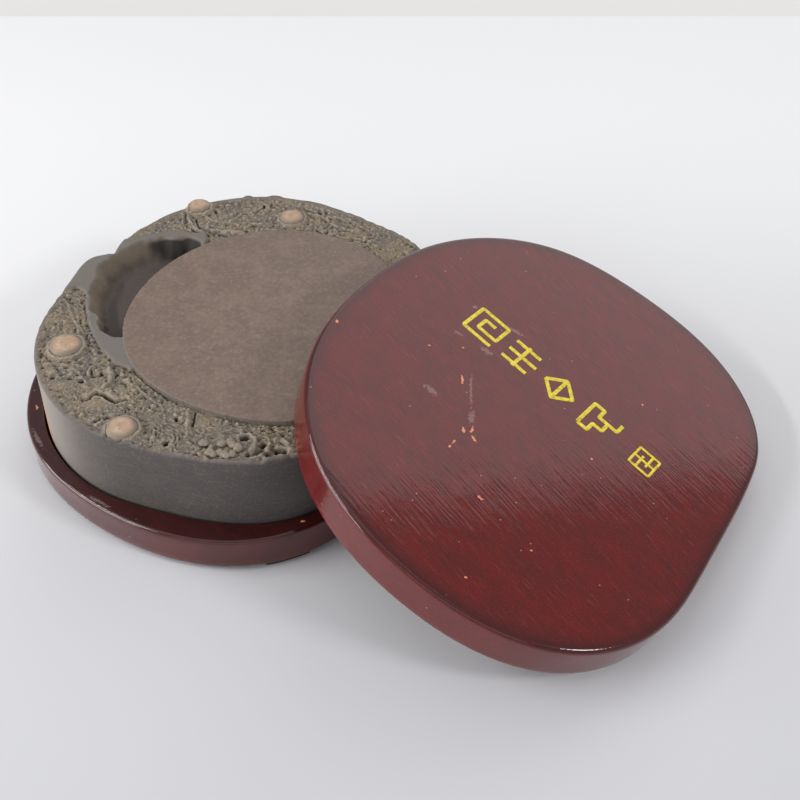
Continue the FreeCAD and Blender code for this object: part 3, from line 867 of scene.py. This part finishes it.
# red lacquered wood, for tray and lid: stained close-grained wood under gloss varnish,
# deep red, the grain showing as fine streaks in the shine; grain rows run along the board
lacquerGrains = [
    ("mottle", (14, 9, 9), 41, 5.0, 0.7), ("streaks", (17, 1.2, 1.2), 43, 2.0, 0.5),
    ("pores", (9, 0.55, 0.55), 43, 2.0, 0.5), ("fine", (0.8, 0.6, 0.6), 41, 3.0, 0.7),
    ("cloud", (20, 20, 20), 0, 4.0, 0.55), ("ragged", (1.1, 1.1, 1.1), 0, 2.0, 0.55),
    ("sheen", (14, 14, 14), 0, 3.0, 0.55), ("wave", (7, 7, 7), 0, 2.0, 0.55),
]
lidLook = {
    "ground": "#600a09", "wood": "#d8875c", "gloss": {"Coat Roughness": 0.012, "Coat IOR": 1.48},
    "coats": [
        ("mottle", 0.38, 0.64, 0.6, None, "#490e0d"), ("fine", 0.52, 0.7, 0.6, None, "#7a1d1a"),
        ("fine", 0.47, 0.28, 0.6, None, "#350908"), ("pores", 0.62, 0.8, 0.45, None, "#260807"),
        ("streaks", 0.58, 0.8, 0.3, None, "#7c1d1b"), ("streaks", 0.4, 0.24, 0.4, None, "#320807"),
        # edge: painted shade along the rim of the top
        ("pores", 0.38, 0.26, 0.5, None, "#8d3a35"), ("edge", 0.0, 1.0, 0.6, None, "#2a0a0a"),
        # wall: a paler pink painted on the wall, as painted reflection of the pale table
        ("wall", 0.0, 1.0, 0.12, None, "#8c4440"), ("cloud", 0.4, 0.62, 0.4, "wall", "#5c1512"),
    ],
}
# the same lacquer as the lid, painted as shaded and lit copies: the top much darker, as painted shade with the
# stone's dark reflection in it, the wall coat paler
trayLook = {
    "ground": "#38100f", "wood": "#c98a66", "gloss": {"Coat Roughness": 0.07, "Coat IOR": 1.5},
    "coats": [
        ("mottle", 0.38, 0.64, 0.7, None, "#2a0c0c"), ("fine", 0.55, 0.75, 0.5, None, "#4e1a18"),
        ("pores", 0.6, 0.8, 0.5, None, "#1c0707"), ("streaks", 0.55, 0.8, 0.35, None, "#581a18"),
        ("wall", 0.0, 1.0, 0.6, None, "#642624"), ("cloud", 0.4, 0.62, 0.6, "wall", "#441615"),
    ],
}
# spots rubbed to bare wood: x, y, half length, half width, turn, in the lid's own millimetres
bareSpots = [
    (-33.4, 7.2, 2.6, 0.7, 95), (-31.8, -17.4, 1.8, 0.8, 100), (-28.6, -16.6, 1.9, 0.7, 75),
    (-27.4, -20.6, 1.9, 0.8, -50), (-35.6, -24.2, 1.5, 0.5, 60), (-37.0, -26.8, 0.9, 0.7, 0),
    (-24.2, -46.6, 1.6, 0.7, -40), (-86.2, 20.4, 1.0, 0.7, 80), (-48.0, 20.4, 0.7, 0.5, 0),
    (-33.8, 23.8, 0.9, 0.5, 20), (-4.0, -64.0, 0.7, 0.6, 0), (-28.4, -81.0, 0.7, 0.5, 0),
    (21.0, -16.0, 0.7, 0.5, 0), (45.0, 18.6, 0.6, 0.6, 0),
]
# grey scuffs in the varnish
scuffs = [
    (-11.5, 40.5, 5.0, 1.3, -20), (-23.6, 25.2, 4.4, 1.8, -30), (-29.6, 3.0, 11.0, 0.8, 92),
    (-29.0, -10.4, 4.4, 1.8, 80), (-46.0, -2.0, 4.8, 2.2, -40), (-29.6, 48.0, 1.6, 1.0, 0),
    (-36.0, 31.0, 3.2, 0.9, -30), (-88.0, -48.0, 5.0, 1.2, -62),
]


# what tray and lid share
varnish = {
    "dust": "#a88f8b", "dustEvery": 5.2, "dustShare": 0.4, "rough": ("sheen", 0.3, 0.7, 0.3, 0.42),
    "bumps": [("streaks", 0.045, 1.0, None)],
    "coatBumps": [("streaks", 0.055, 1.0, None), ("fine", 0.006, 1.0, None), ("wave", 0.03, 1.0, None)],
    "fixed": {"Specular IOR Level": 0.08, "Coat Weight": 1.0},
}


def makeLacquer(name, look, toLocal, spots, greys):
    material, tree, shader = newMaterial(name)
    place = addNode(tree, "ShaderNodeTexCoord", out="Object")
    local = addNode(tree, "ShaderNodeMapping", {
        "Vector": place, "Location": toLocal.to_translation(), "Rotation": toLocal.to_euler("XYZ")})
    sources = readSources(tree, ("wall", "edge"), lacquerGrains, local)

    def findSpots(items, reach):
        # how much of a point lies in one of the listed spots, with ragged edges
        whole = None
        for x, y, length, width, turn in items:
            toSpot = (Matrix.Rotation(-math.radians(turn), 4, "Z")
                      @ Matrix.Translation((-x * mm, -y * mm, 0)))
            spot = addNode(tree, "ShaderNodeMapping", {
                "Vector": local, "Location": toSpot.to_translation(), "Rotation": toSpot.to_euler("XYZ")})
            size = addNode(tree, "ShaderNodeVectorMath", {
                0: spot, 1: (1 / (length * mm), 1 / (width * mm), 1 / (8 * mm))}, operation="MULTIPLY")
            away = addNode(tree, "ShaderNodeVectorMath", {0: size}, out="Value", operation="LENGTH")
            inside = addNode(tree, "ShaderNodeMath", {0: 1.0 + reach, 1: away}, operation="SUBTRACT")
            whole = inside if whole is None else addNode(
                tree, "ShaderNodeMath", {0: whole, 1: inside}, operation="MAXIMUM")
        return addNode(tree, "ShaderNodeMath", {0: sources["ragged"], 1: 2.2, 2: whole},
                       operation="MULTIPLY_ADD")

    # dust specks caught in the varnish, about half a millimetre
    cells = addNode(tree, "ShaderNodeTexVoronoi", {
        "Vector": local, "Scale": 1 / (varnish["dustEvery"] * mm)}).node.outputs
    chance = addNode(tree, "ShaderNodeTexWhiteNoise", {"Vector": cells["Position"]})
    sources["dusty"] = addNode(tree, "ShaderNodeMath", {0: chance, 1: 1 - varnish["dustShare"]},
                               operation="GREATER_THAN")
    sources["cells"] = cells["Distance"]
    sources["greys"], sources["spots"] = findSpots(greys, 0.0), findSpots(spots, 0.1)
    finishSkin(tree, shader, sources, {**varnish, **look}, look["coats"] + [
        ("cells", 0.075, 0.045, 0.6, "dusty", varnish["dust"]),
        ("greys", 1.35, 1.6, 0.3, None, varnish["dust"]), ("spots", 1.35, 1.6, 1.0, None, look["wood"])])
    for socket, value in look["gloss"].items():
        shader.inputs[socket].default_value = value
    tree.links.new(layRelief(tree, sources, varnish["coatBumps"]), shader.inputs["Coat Normal"])
    return material


trayShape = {
    "around": 540, "foot": 2.0, "top": 17.2, "seat": 10.8, "topRound": 1.6, "lowRound": 1.4, "lip": 0.5,
}
trayRadius = readOutline("tray", trayShape["foot"] + trayShape["lowRound"])
seatRadius = readOutline("tray", trayShape["seat"])


def makeTray():
    s = trayShape
    theta = np.linspace(0, 2 * math.pi, s["around"], endpoint=False)
    outer, seat = trayRadius(theta), seatRadius(theta)
    wave = 0.12 * softNoise(outer * np.cos(theta), outer * np.sin(theta), 17, 101)
    rings, wall = [], []

    def add(radius, height, side):
        rings.append(polar(theta, radius, height))
        wall.append(np.full(theta.shape, float(side)))

    for share in (0.35, 0.7, 0.97):
        add(seat * share, s["seat"], 0)
    add(seat, s["seat"] + 0.4, 0)
    add(seat, s["top"] - s["lip"] - 2, 0)
    for lean in (0, 45, 90):
        a = math.radians(lean)
        add(seat + s["lip"] * (1 - math.cos(a)), s["top"] - s["lip"] * (1 - math.sin(a)), 0)
    flat = outer - s["topRound"]
    for share in (0.25, 0.5, 0.75, 0.95):
        add(seat + s["lip"] + (flat - seat - s["lip"]) * share,
            s["top"] + wave * 0.6 * math.sin(share * math.pi) - 0.06 * share, 0)
    for lean in range(0, 91, 10):
        a = math.radians(lean)
        add(flat + s["topRound"] * math.sin(a), s["top"] - s["topRound"] * (1 - math.cos(a)) - 0.06,
            max(0, (lean - 40) / 50))
    for share in (0.2, 0.4, 0.6, 0.8, 1.0):
        height = (s["top"] - s["topRound"]) * (1 - share) + (s["foot"] + s["lowRound"]) * share
        add(outer + 0.15 * wave - 0.1 * math.sin(share * math.pi), height, 1)
    for lean in (30, 60, 90):
        a = math.radians(lean)
        add(outer - s["lowRound"] * (1 - math.cos(a)), s["foot"] + s["lowRound"] * (1 - math.sin(a)), 1)
    for share in (0.9, 0.5):
        add((outer - s["lowRound"]) * share, s["foot"], 1)
    return ringSolid("trayBody", np.array(rings), {"wall": np.array(wall)})


trayBody = makeTray()
trayToLocal = Matrix.Translation((-trayMiddle[0] * mm, -trayMiddle[1] * mm, -trayShape["top"] * mm))
trayLacquer = makeLacquer("lacqueredWoodTray", trayLook, trayToLocal,
                          [(-88.6, -26.0, 1.6, 0.6, -70), (30.4, -90.6, 1.2, 0.6, 10)],
                          [(-84.0, -45.0, 9.0, 1.2, -58), (-52.0, -80.0, 8.0, 1.0, -32)])
trayBody.data.materials.append(trayLacquer)
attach(trayBody, "tray")
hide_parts("tray")
print("tray turned")


# feet: carried over, in sawn wood, stained nearly black and left matt; pale where a corner has gone

footLook = {
    "ground": "#1d0e0c",
    "grains": [("fibre", (9, 9, 0.8), 0, 4.0, 0.55), ("chip", (5, 5, 5), 0, 2.0, 0.5)],
    "coats": [("fibre", 0.3, 0.7, 1.0, None, "#3a1c18"), ("chip", 0.7, 0.73, 1.0, None, "#c9bdb0")],
    "rough": 0.6, "bumps": [("fibre", 0.1, 0.4, None)],
}
footWood = makeSkin("stainedFootWood", footLook)
for number in (1, 2, 3, 4):
    mesh = nodes["foot_%d" % number].data
    mesh.materials.clear()
    mesh.materials.append(footWood)


# lid: leans with its left edge on the stone

lidShape = {
    "around": 720, "thick": 17.8, "recess": 9.8, "clearance": 1.6, "topRound": 2.0, "lowRound": 0.9,
    "centre": (124.5, -59.0), "axis": 62.6, "lean": 19.2, "turn": -3.1,
}


def lidPlace():
    # the lid's own frame: top plane at height 0, outlines measured round its middle
    s = lidShape
    a = math.radians(s["axis"])
    turn = (Matrix.Rotation(math.radians(s["lean"]), 4, Vector((math.cos(a), math.sin(a), 0)))
            @ Matrix.Rotation(math.radians(s["turn"]), 4, "Z"))
    foot = np.array([trayMiddle[0] + s["centre"][0], trayMiddle[1] + s["centre"][1], 0.0]) * mm
    normal = np.array(turn.to_3x3() @ Vector((0, 0, 1)))
    points = np.array([v.co for v in nodes["lid"].data.vertices]) - foot
    rise = (points @ normal).max() / normal[2]
    return Matrix.Translation((foot[0], foot[1], rise)) @ turn


lidFrame = lidPlace()


def makeLid():
    s = lidShape
    theta = np.linspace(0, 2 * math.pi, s["around"], endpoint=False)
    outer = trayRadius(theta)
    mouth = stoneRadius(theta) - stoneShape["flare"] + s["clearance"]
    rings, wall, edge = [], [], []

    def add(radius, height, side, wavy=0.0, dark=0.0):
        x, y = radius * np.cos(theta), radius * np.sin(theta)
        z = height + wavy * softNoise(x, y, 26, 111) + wavy * 0.35 * softNoise(x, y, 9, 112)
        rings.append(np.stack([x, y, np.broadcast_to(z, x.shape)], -1))
        wall.append(np.full(theta.shape, float(side)))
        edge.append(np.full(theta.shape, float(dark)))

    flat = outer - s["topRound"]
    # the edge mark (dark) is painted shade along the rim of the top and down its rounding, also standing for
    # lacquer lying thicker there
    for share in np.linspace(0.04, 0.985, 40):
        add(flat * share, 0.0, 0, 0.05, smoothStep(0.93, 0.99, share) * 0.6)
    for lean in range(0, 91, 9):
        a = math.radians(lean)
        add(flat + s["topRound"] * math.sin(a), -s["topRound"] * (1 - math.cos(a)), max(0, (lean - 50) / 40),
            dark=1 - max(0, (lean - 50) / 40))
    for share in np.linspace(0.08, 1.0, 9):
        wave = 0.1 * softNoise(theta * 90, np.full(theta.shape, share * 14), 11, 113)
        add(outer + wave * math.sin(share * math.pi),
            -s["topRound"] - (s["thick"] - s["topRound"] - s["lowRound"]) * share, 1)
    for lean in (22, 45, 68, 90):
        a = math.radians(lean)
        add(outer - s["lowRound"] * (1 - math.cos(a)), -s["thick"] + s["lowRound"] * (1 - math.sin(a)), 1)
    for share in (0.3, 0.6, 0.93):
        add(outer - s["lowRound"] + (mouth - outer + s["lowRound"]) * share, -s["thick"], 1)
    add(mouth, -s["thick"] + 0.5, 1)
    add(mouth, -s["thick"] + 4.0, 1)
    ceiling = s["recess"] - s["thick"]
    for lean in (0, 45, 90):
        a = math.radians(lean)
        add(mouth - 1.2 * (1 - math.cos(a)), ceiling - 1.2 * (1 - math.sin(a)), 1)
    for share in (0.8, 0.5, 0.2):
        add((mouth - 1.2) * share, ceiling, 1)
    rings = np.array(rings)
    turned = rings.reshape(-1, 3) @ np.array(lidFrame.to_3x3()).T + np.array(lidFrame.translation) / mm
    return ringSolid("lidBody", turned.reshape(rings.shape), {"wall": np.array(wall), "edge": np.array(edge)})


lidBody = makeLid()
lidLacquer = makeLacquer("lacqueredWoodLid", lidLook, lidFrame.inverted(), bareSpots, scuffs)
lidBody.data.materials.append(lidLacquer)
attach(lidBody, "lid")
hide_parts("lid")
print("lid turned and leaned")


# gilt frets in the lid's top

giltShape = {
    "size": 16.0, "stroke": 1.7, "sealSize": 11.0, "sealStroke": 1.1, "proud": 0.2, "sunk": 0.25,
    "column": -36.0, "start": (-24.1, 38.4), "steps": (0.0, 19.8, 39.5, 61.0), "sealStep": 84.0,
    "corner": 0.18, "waverScale": 380.0,
}
fretPlans = {
    "spiral": [[(-1, -1), (-1, 1), (1, 1), (1, -1), (-0.4, -1), (-0.4, 0.35), (0.4, 0.35), (0.4, -0.4)]],
    "comb": [[(-1, 0.1), (1, 0.1)], [(-0.8, 1), (-0.8, -0.8)], [(0, 1), (0, -1)], [(0.8, 1), (0.8, -0.8)]],
    "lozenge": [[(0, 1), (0.9, 0), (0, -1), (-0.9, 0), (0, 1)], [(-0.9, 0), (0.9, 0)]],
    "step": [[(-1, 1), (-1, 0.3), (-0.35, 0.3), (-0.35, -0.35), (0.35, -0.35), (0.35, -1), (1, -1)],
             [(-1, 1), (1, 1), (1, 0.3), (0.35, 0.3), (0.35, -0.35)]],
}
sealPlan = [[(-1, -1), (-1, 1), (1, 1), (1, -1), (-1, -1)], [(-1, 0.33), (0.4, 0.33)],
            [(1, -0.33), (-0.4, -0.33)], [(0, 1), (0, -1)]]
# bronze-powder gold paint laid by brush: satin, a little uneven, dull where it is thin
goldLook = {
    "ground": "#c9b02a", "grains": [("patch", (1.6, 1.6, 1.6), 0, 4.0, 0.55)],
    "coats": [("patch", 0.35, 0.65, 0.9, None, "#ecd93e"), ("patch", 0.4, 0.28, 0.8, None, "#8f7413")],
    "rough": 0.4, "bumps": [("patch", 0.14, 0.6, None)], "fixed": {"Metallic": 0.1},
}


def makeStrokeTree(material):
    # flat-topped strokes with soft shoulders along the plan's lines, a little uneven in width
    group, given, result = newGroup("giltStrokes", [
        ("Half width", "NodeSocketFloat"), ("Half height", "NodeSocketFloat"),
        ("Corner", "NodeSocketFloat"), ("Waver scale", "NodeSocketFloat"), ("Seed", "NodeSocketFloat")])
    curve = addNode(group, "GeometryNodeMeshToCurve", {"Mesh": given["Geometry"]})
    soft = addNode(group, "GeometryNodeFilletCurve", {"Curve": curve, "Radius": given["Corner"]})
    fine = addNode(group, "GeometryNodeResampleCurve", {"Curve": soft, "Count": 260})
    upright = addNode(group, "GeometryNodeSetCurveNormal", {"Curve": fine})
    place = addNode(group, "GeometryNodeInputPosition")
    waver = addNode(group, "ShaderNodeTexNoise", {
        "Vector": place, "Scale": given["Waver scale"], "W": given["Seed"], "Detail": 1.0},
        noise_dimensions="4D")
    swell = addNode(group, "ShaderNodeMapRange", {
        "Value": waver, "From Min": 0.3, "From Max": 0.7, "To Min": 0.86, "To Max": 1.14})
    wide = addNode(group, "GeometryNodeSetCurveRadius", {"Curve": upright, "Radius": swell})
    ring = addNode(group, "GeometryNodeCurvePrimitiveCircle", {"Resolution": 16, "Radius": 1.0},
                   mode="RADIUS")
    axes = addNode(group, "ShaderNodeSeparateXYZ", {0: place}).node.outputs
    # the ring squared off: flat top, rounded shoulders
    sides = []
    for axis, half in (("X", "Half width"), ("Y", "Half height")):
        size = addNode(group, "ShaderNodeMath", {0: axes[axis]}, operation="ABSOLUTE")
        power = addNode(group, "ShaderNodeMath", {0: size, 1: 0.45}, operation="POWER")
        sign = addNode(group, "ShaderNodeMath", {0: axes[axis]}, operation="SIGN")
        signed = addNode(group, "ShaderNodeMath", {0: power, 1: sign}, operation="MULTIPLY")
        sides.append(addNode(group, "ShaderNodeMath", {0: signed, 1: given[half]}, operation="MULTIPLY"))
    shaped = addNode(group, "ShaderNodeCombineXYZ", {0: sides[0], 1: sides[1]})
    profile = addNode(group, "GeometryNodeSetPosition", {"Geometry": ring, "Position": shaped})
    body = addNode(group, "GeometryNodeCurveToMesh", {
        "Curve": wide, "Profile Curve": profile, "Fill Caps": True})
    real = addNode(group, "GeometryNodeRealizeInstances", {"Geometry": body})
    coated = addNode(group, "GeometryNodeSetMaterial", {"Geometry": real, "Material": material})
    group.links.new(coated, result[0])
    return group


gold = makeSkin("goldPaintBrushed", goldLook)
strokeTree = makeStrokeTree(gold)


def makeFret(name, plan, size, stroke, step, seed):
    s = giltShape
    half = (size - stroke) / 2
    a = math.radians(s["column"])
    middle = Vector((s["start"][0] + step * math.cos(a), s["start"][1] + step * math.sin(a), 0)) * mm
    place = Matrix.Translation(middle) @ Matrix.Rotation(a + math.pi / 2, 4, "Z")
    chains = [[(x * half, y * half) for x, y in chain] for chain in plan]
    mesh = planMesh(name + "Plan", chains, 0.0, place)
    fret = growPiece(name, mesh, strokeTree, {
        "Half width": stroke / 2 * mm, "Half height": (s["proud"] + s["sunk"]) / 2 * mm,
        "Corner": stroke * s["corner"] * mm, "Waver scale": s["waverScale"], "Seed": float(seed)}, gold)
    # sunk a quarter of a millimetre into the top, then carried to the lid's place
    fret.data.transform(Matrix.Translation((0, 0, (s["proud"] - s["sunk"]) / 2 * mm)))
    fret.data.transform(lidFrame)
    turnNormals(fret.data)
    return fret


giltRows = [("giltFret" + key.capitalize(), "gilt_fret_" + key, plan, giltShape["size"],
             giltShape["stroke"], step)
            for (key, plan), step in zip(fretPlans.items(), giltShape["steps"])]
giltRows.append(("giltSeal", "gilt_seal", sealPlan, giltShape["sealSize"], giltShape["sealStroke"],
                 giltShape["sealStep"]))
for number, (name, node, plan, size, stroke, step) in enumerate(giltRows):
    fret = makeFret(name, plan, size, stroke, step, number * 3)
    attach(fret, "lid")
    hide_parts(node)
print("gilt laid")


# table and light

studio = {
    "tableBack": 0.43, "tableHalf": 2.2, "ambient": 0.46,
    # place, direction it is seen in (bearing, height above level), roll, width, height, watts
    "backWindow": ((0.68, 1.63, 1.125), (60, 45), -36.9, 2.06, 2.0, 13.9),
    "ceilingWindow": ((-0.25, -0.05, 1.8), (180, 84), 0, 1.8, 1.8, 4.6),
    "leftWindow": ((-1.2, -0.3, 0.33), (194, 14), 0, 1.0, 0.45, 9.6),
    "frontWindow": ((-0.3, -1.5, 0.75), (-100, 26), 0, 1.8, 0.8, 3.0),
    "spark": ((-0.95, -0.2, 0.88), (190, 40), 0, 0.8, 0.06, 5.5),
    "rightWindow": ((1.25, -0.65, 1.05), (-27, 37), 0, 0.34, 0.3, 8.5),
}
# matt white paint, with painted shade: darker towards the front, where less light reaches
tableLook = {
    "ground": "#b8b8bd", "grains": [("tone", (330, 330, 330), 0, 2.0, 0.5)],
    # y: painted shade, the board darker towards the front
    "coats": [("y", -0.3, 0.3, 1.0, None, "#e4e4e5"), ("tone", 0.3, 0.7, 0.15, None, "#e6e6e9"),
              ("y", 0.429, 0.431, 0.8, None, "#dedcda")],
    "rough": 0.55, "bumps": [], "fixed": {"Specular IOR Level": 0.3},
}


def makeTable():
    # one sheet that drops a few millimetres behind the far edge
    half, back = studio["tableHalf"], studio["tableBack"]
    profile = [(-2.0, 0.0), (back - 0.004, 0.0), (back - 0.001, -0.001), (back, -0.004), (back, -0.03),
               (2.4, -0.03)]
    points, faces = [], []
    for y, z in profile:
        points += [(-half, y, z - 0.00005), (half, y, z - 0.00005)]
    for k in range(len(profile) - 1):
        faces.append((2 * k, 2 * k + 1, 2 * k + 3, 2 * k + 2))
    mesh = bpy.data.meshes.new("paleTable")
    mesh.from_pydata(points, [], faces)
    newObject("paleTable", mesh, makeSkin("matPaintedBoard", tableLook))


def addWindow(name, place, seenIn, roll, width, height, watts):
    # a flat lit panel square to the direction it is seen in, rolled about that direction
    bearing, rise, turn = (math.radians(v) for v in (*seenIn, roll))
    out = Vector((math.cos(rise) * math.cos(bearing), math.cos(rise) * math.sin(bearing), math.sin(rise)))
    right = Vector((math.sin(bearing), -math.cos(bearing), 0))
    up = out.cross(right) * -1
    across = right * math.cos(turn) - up * math.sin(turn)
    along = out.cross(across)
    data = bpy.data.lights.new(name, "AREA")
    data.shape = "RECTANGLE"
    data.size, data.size_y, data.energy = width, height, watts
    lamp = bpy.data.objects.new(name, data)
    lamp.matrix_world = Matrix.Translation(place) @ Matrix((across, along, out)).transposed().to_4x4()
    bpy.context.scene.collection.objects.link(lamp)
    return lamp


makeTable()
for name in ("backWindow", "ceilingWindow", "leftWindow", "frontWindow", "spark", "rightWindow"):
    addWindow(name, *studio[name])
world = bpy.data.worlds.new("softRoom")
world.use_nodes = True
world.node_tree.nodes["Background"].inputs["Color"].default_value = hexColour("#f2f3f5")
world.node_tree.nodes["Background"].inputs["Strength"].default_value = studio["ambient"]
bpy.context.scene.world = world
print("table and light set")
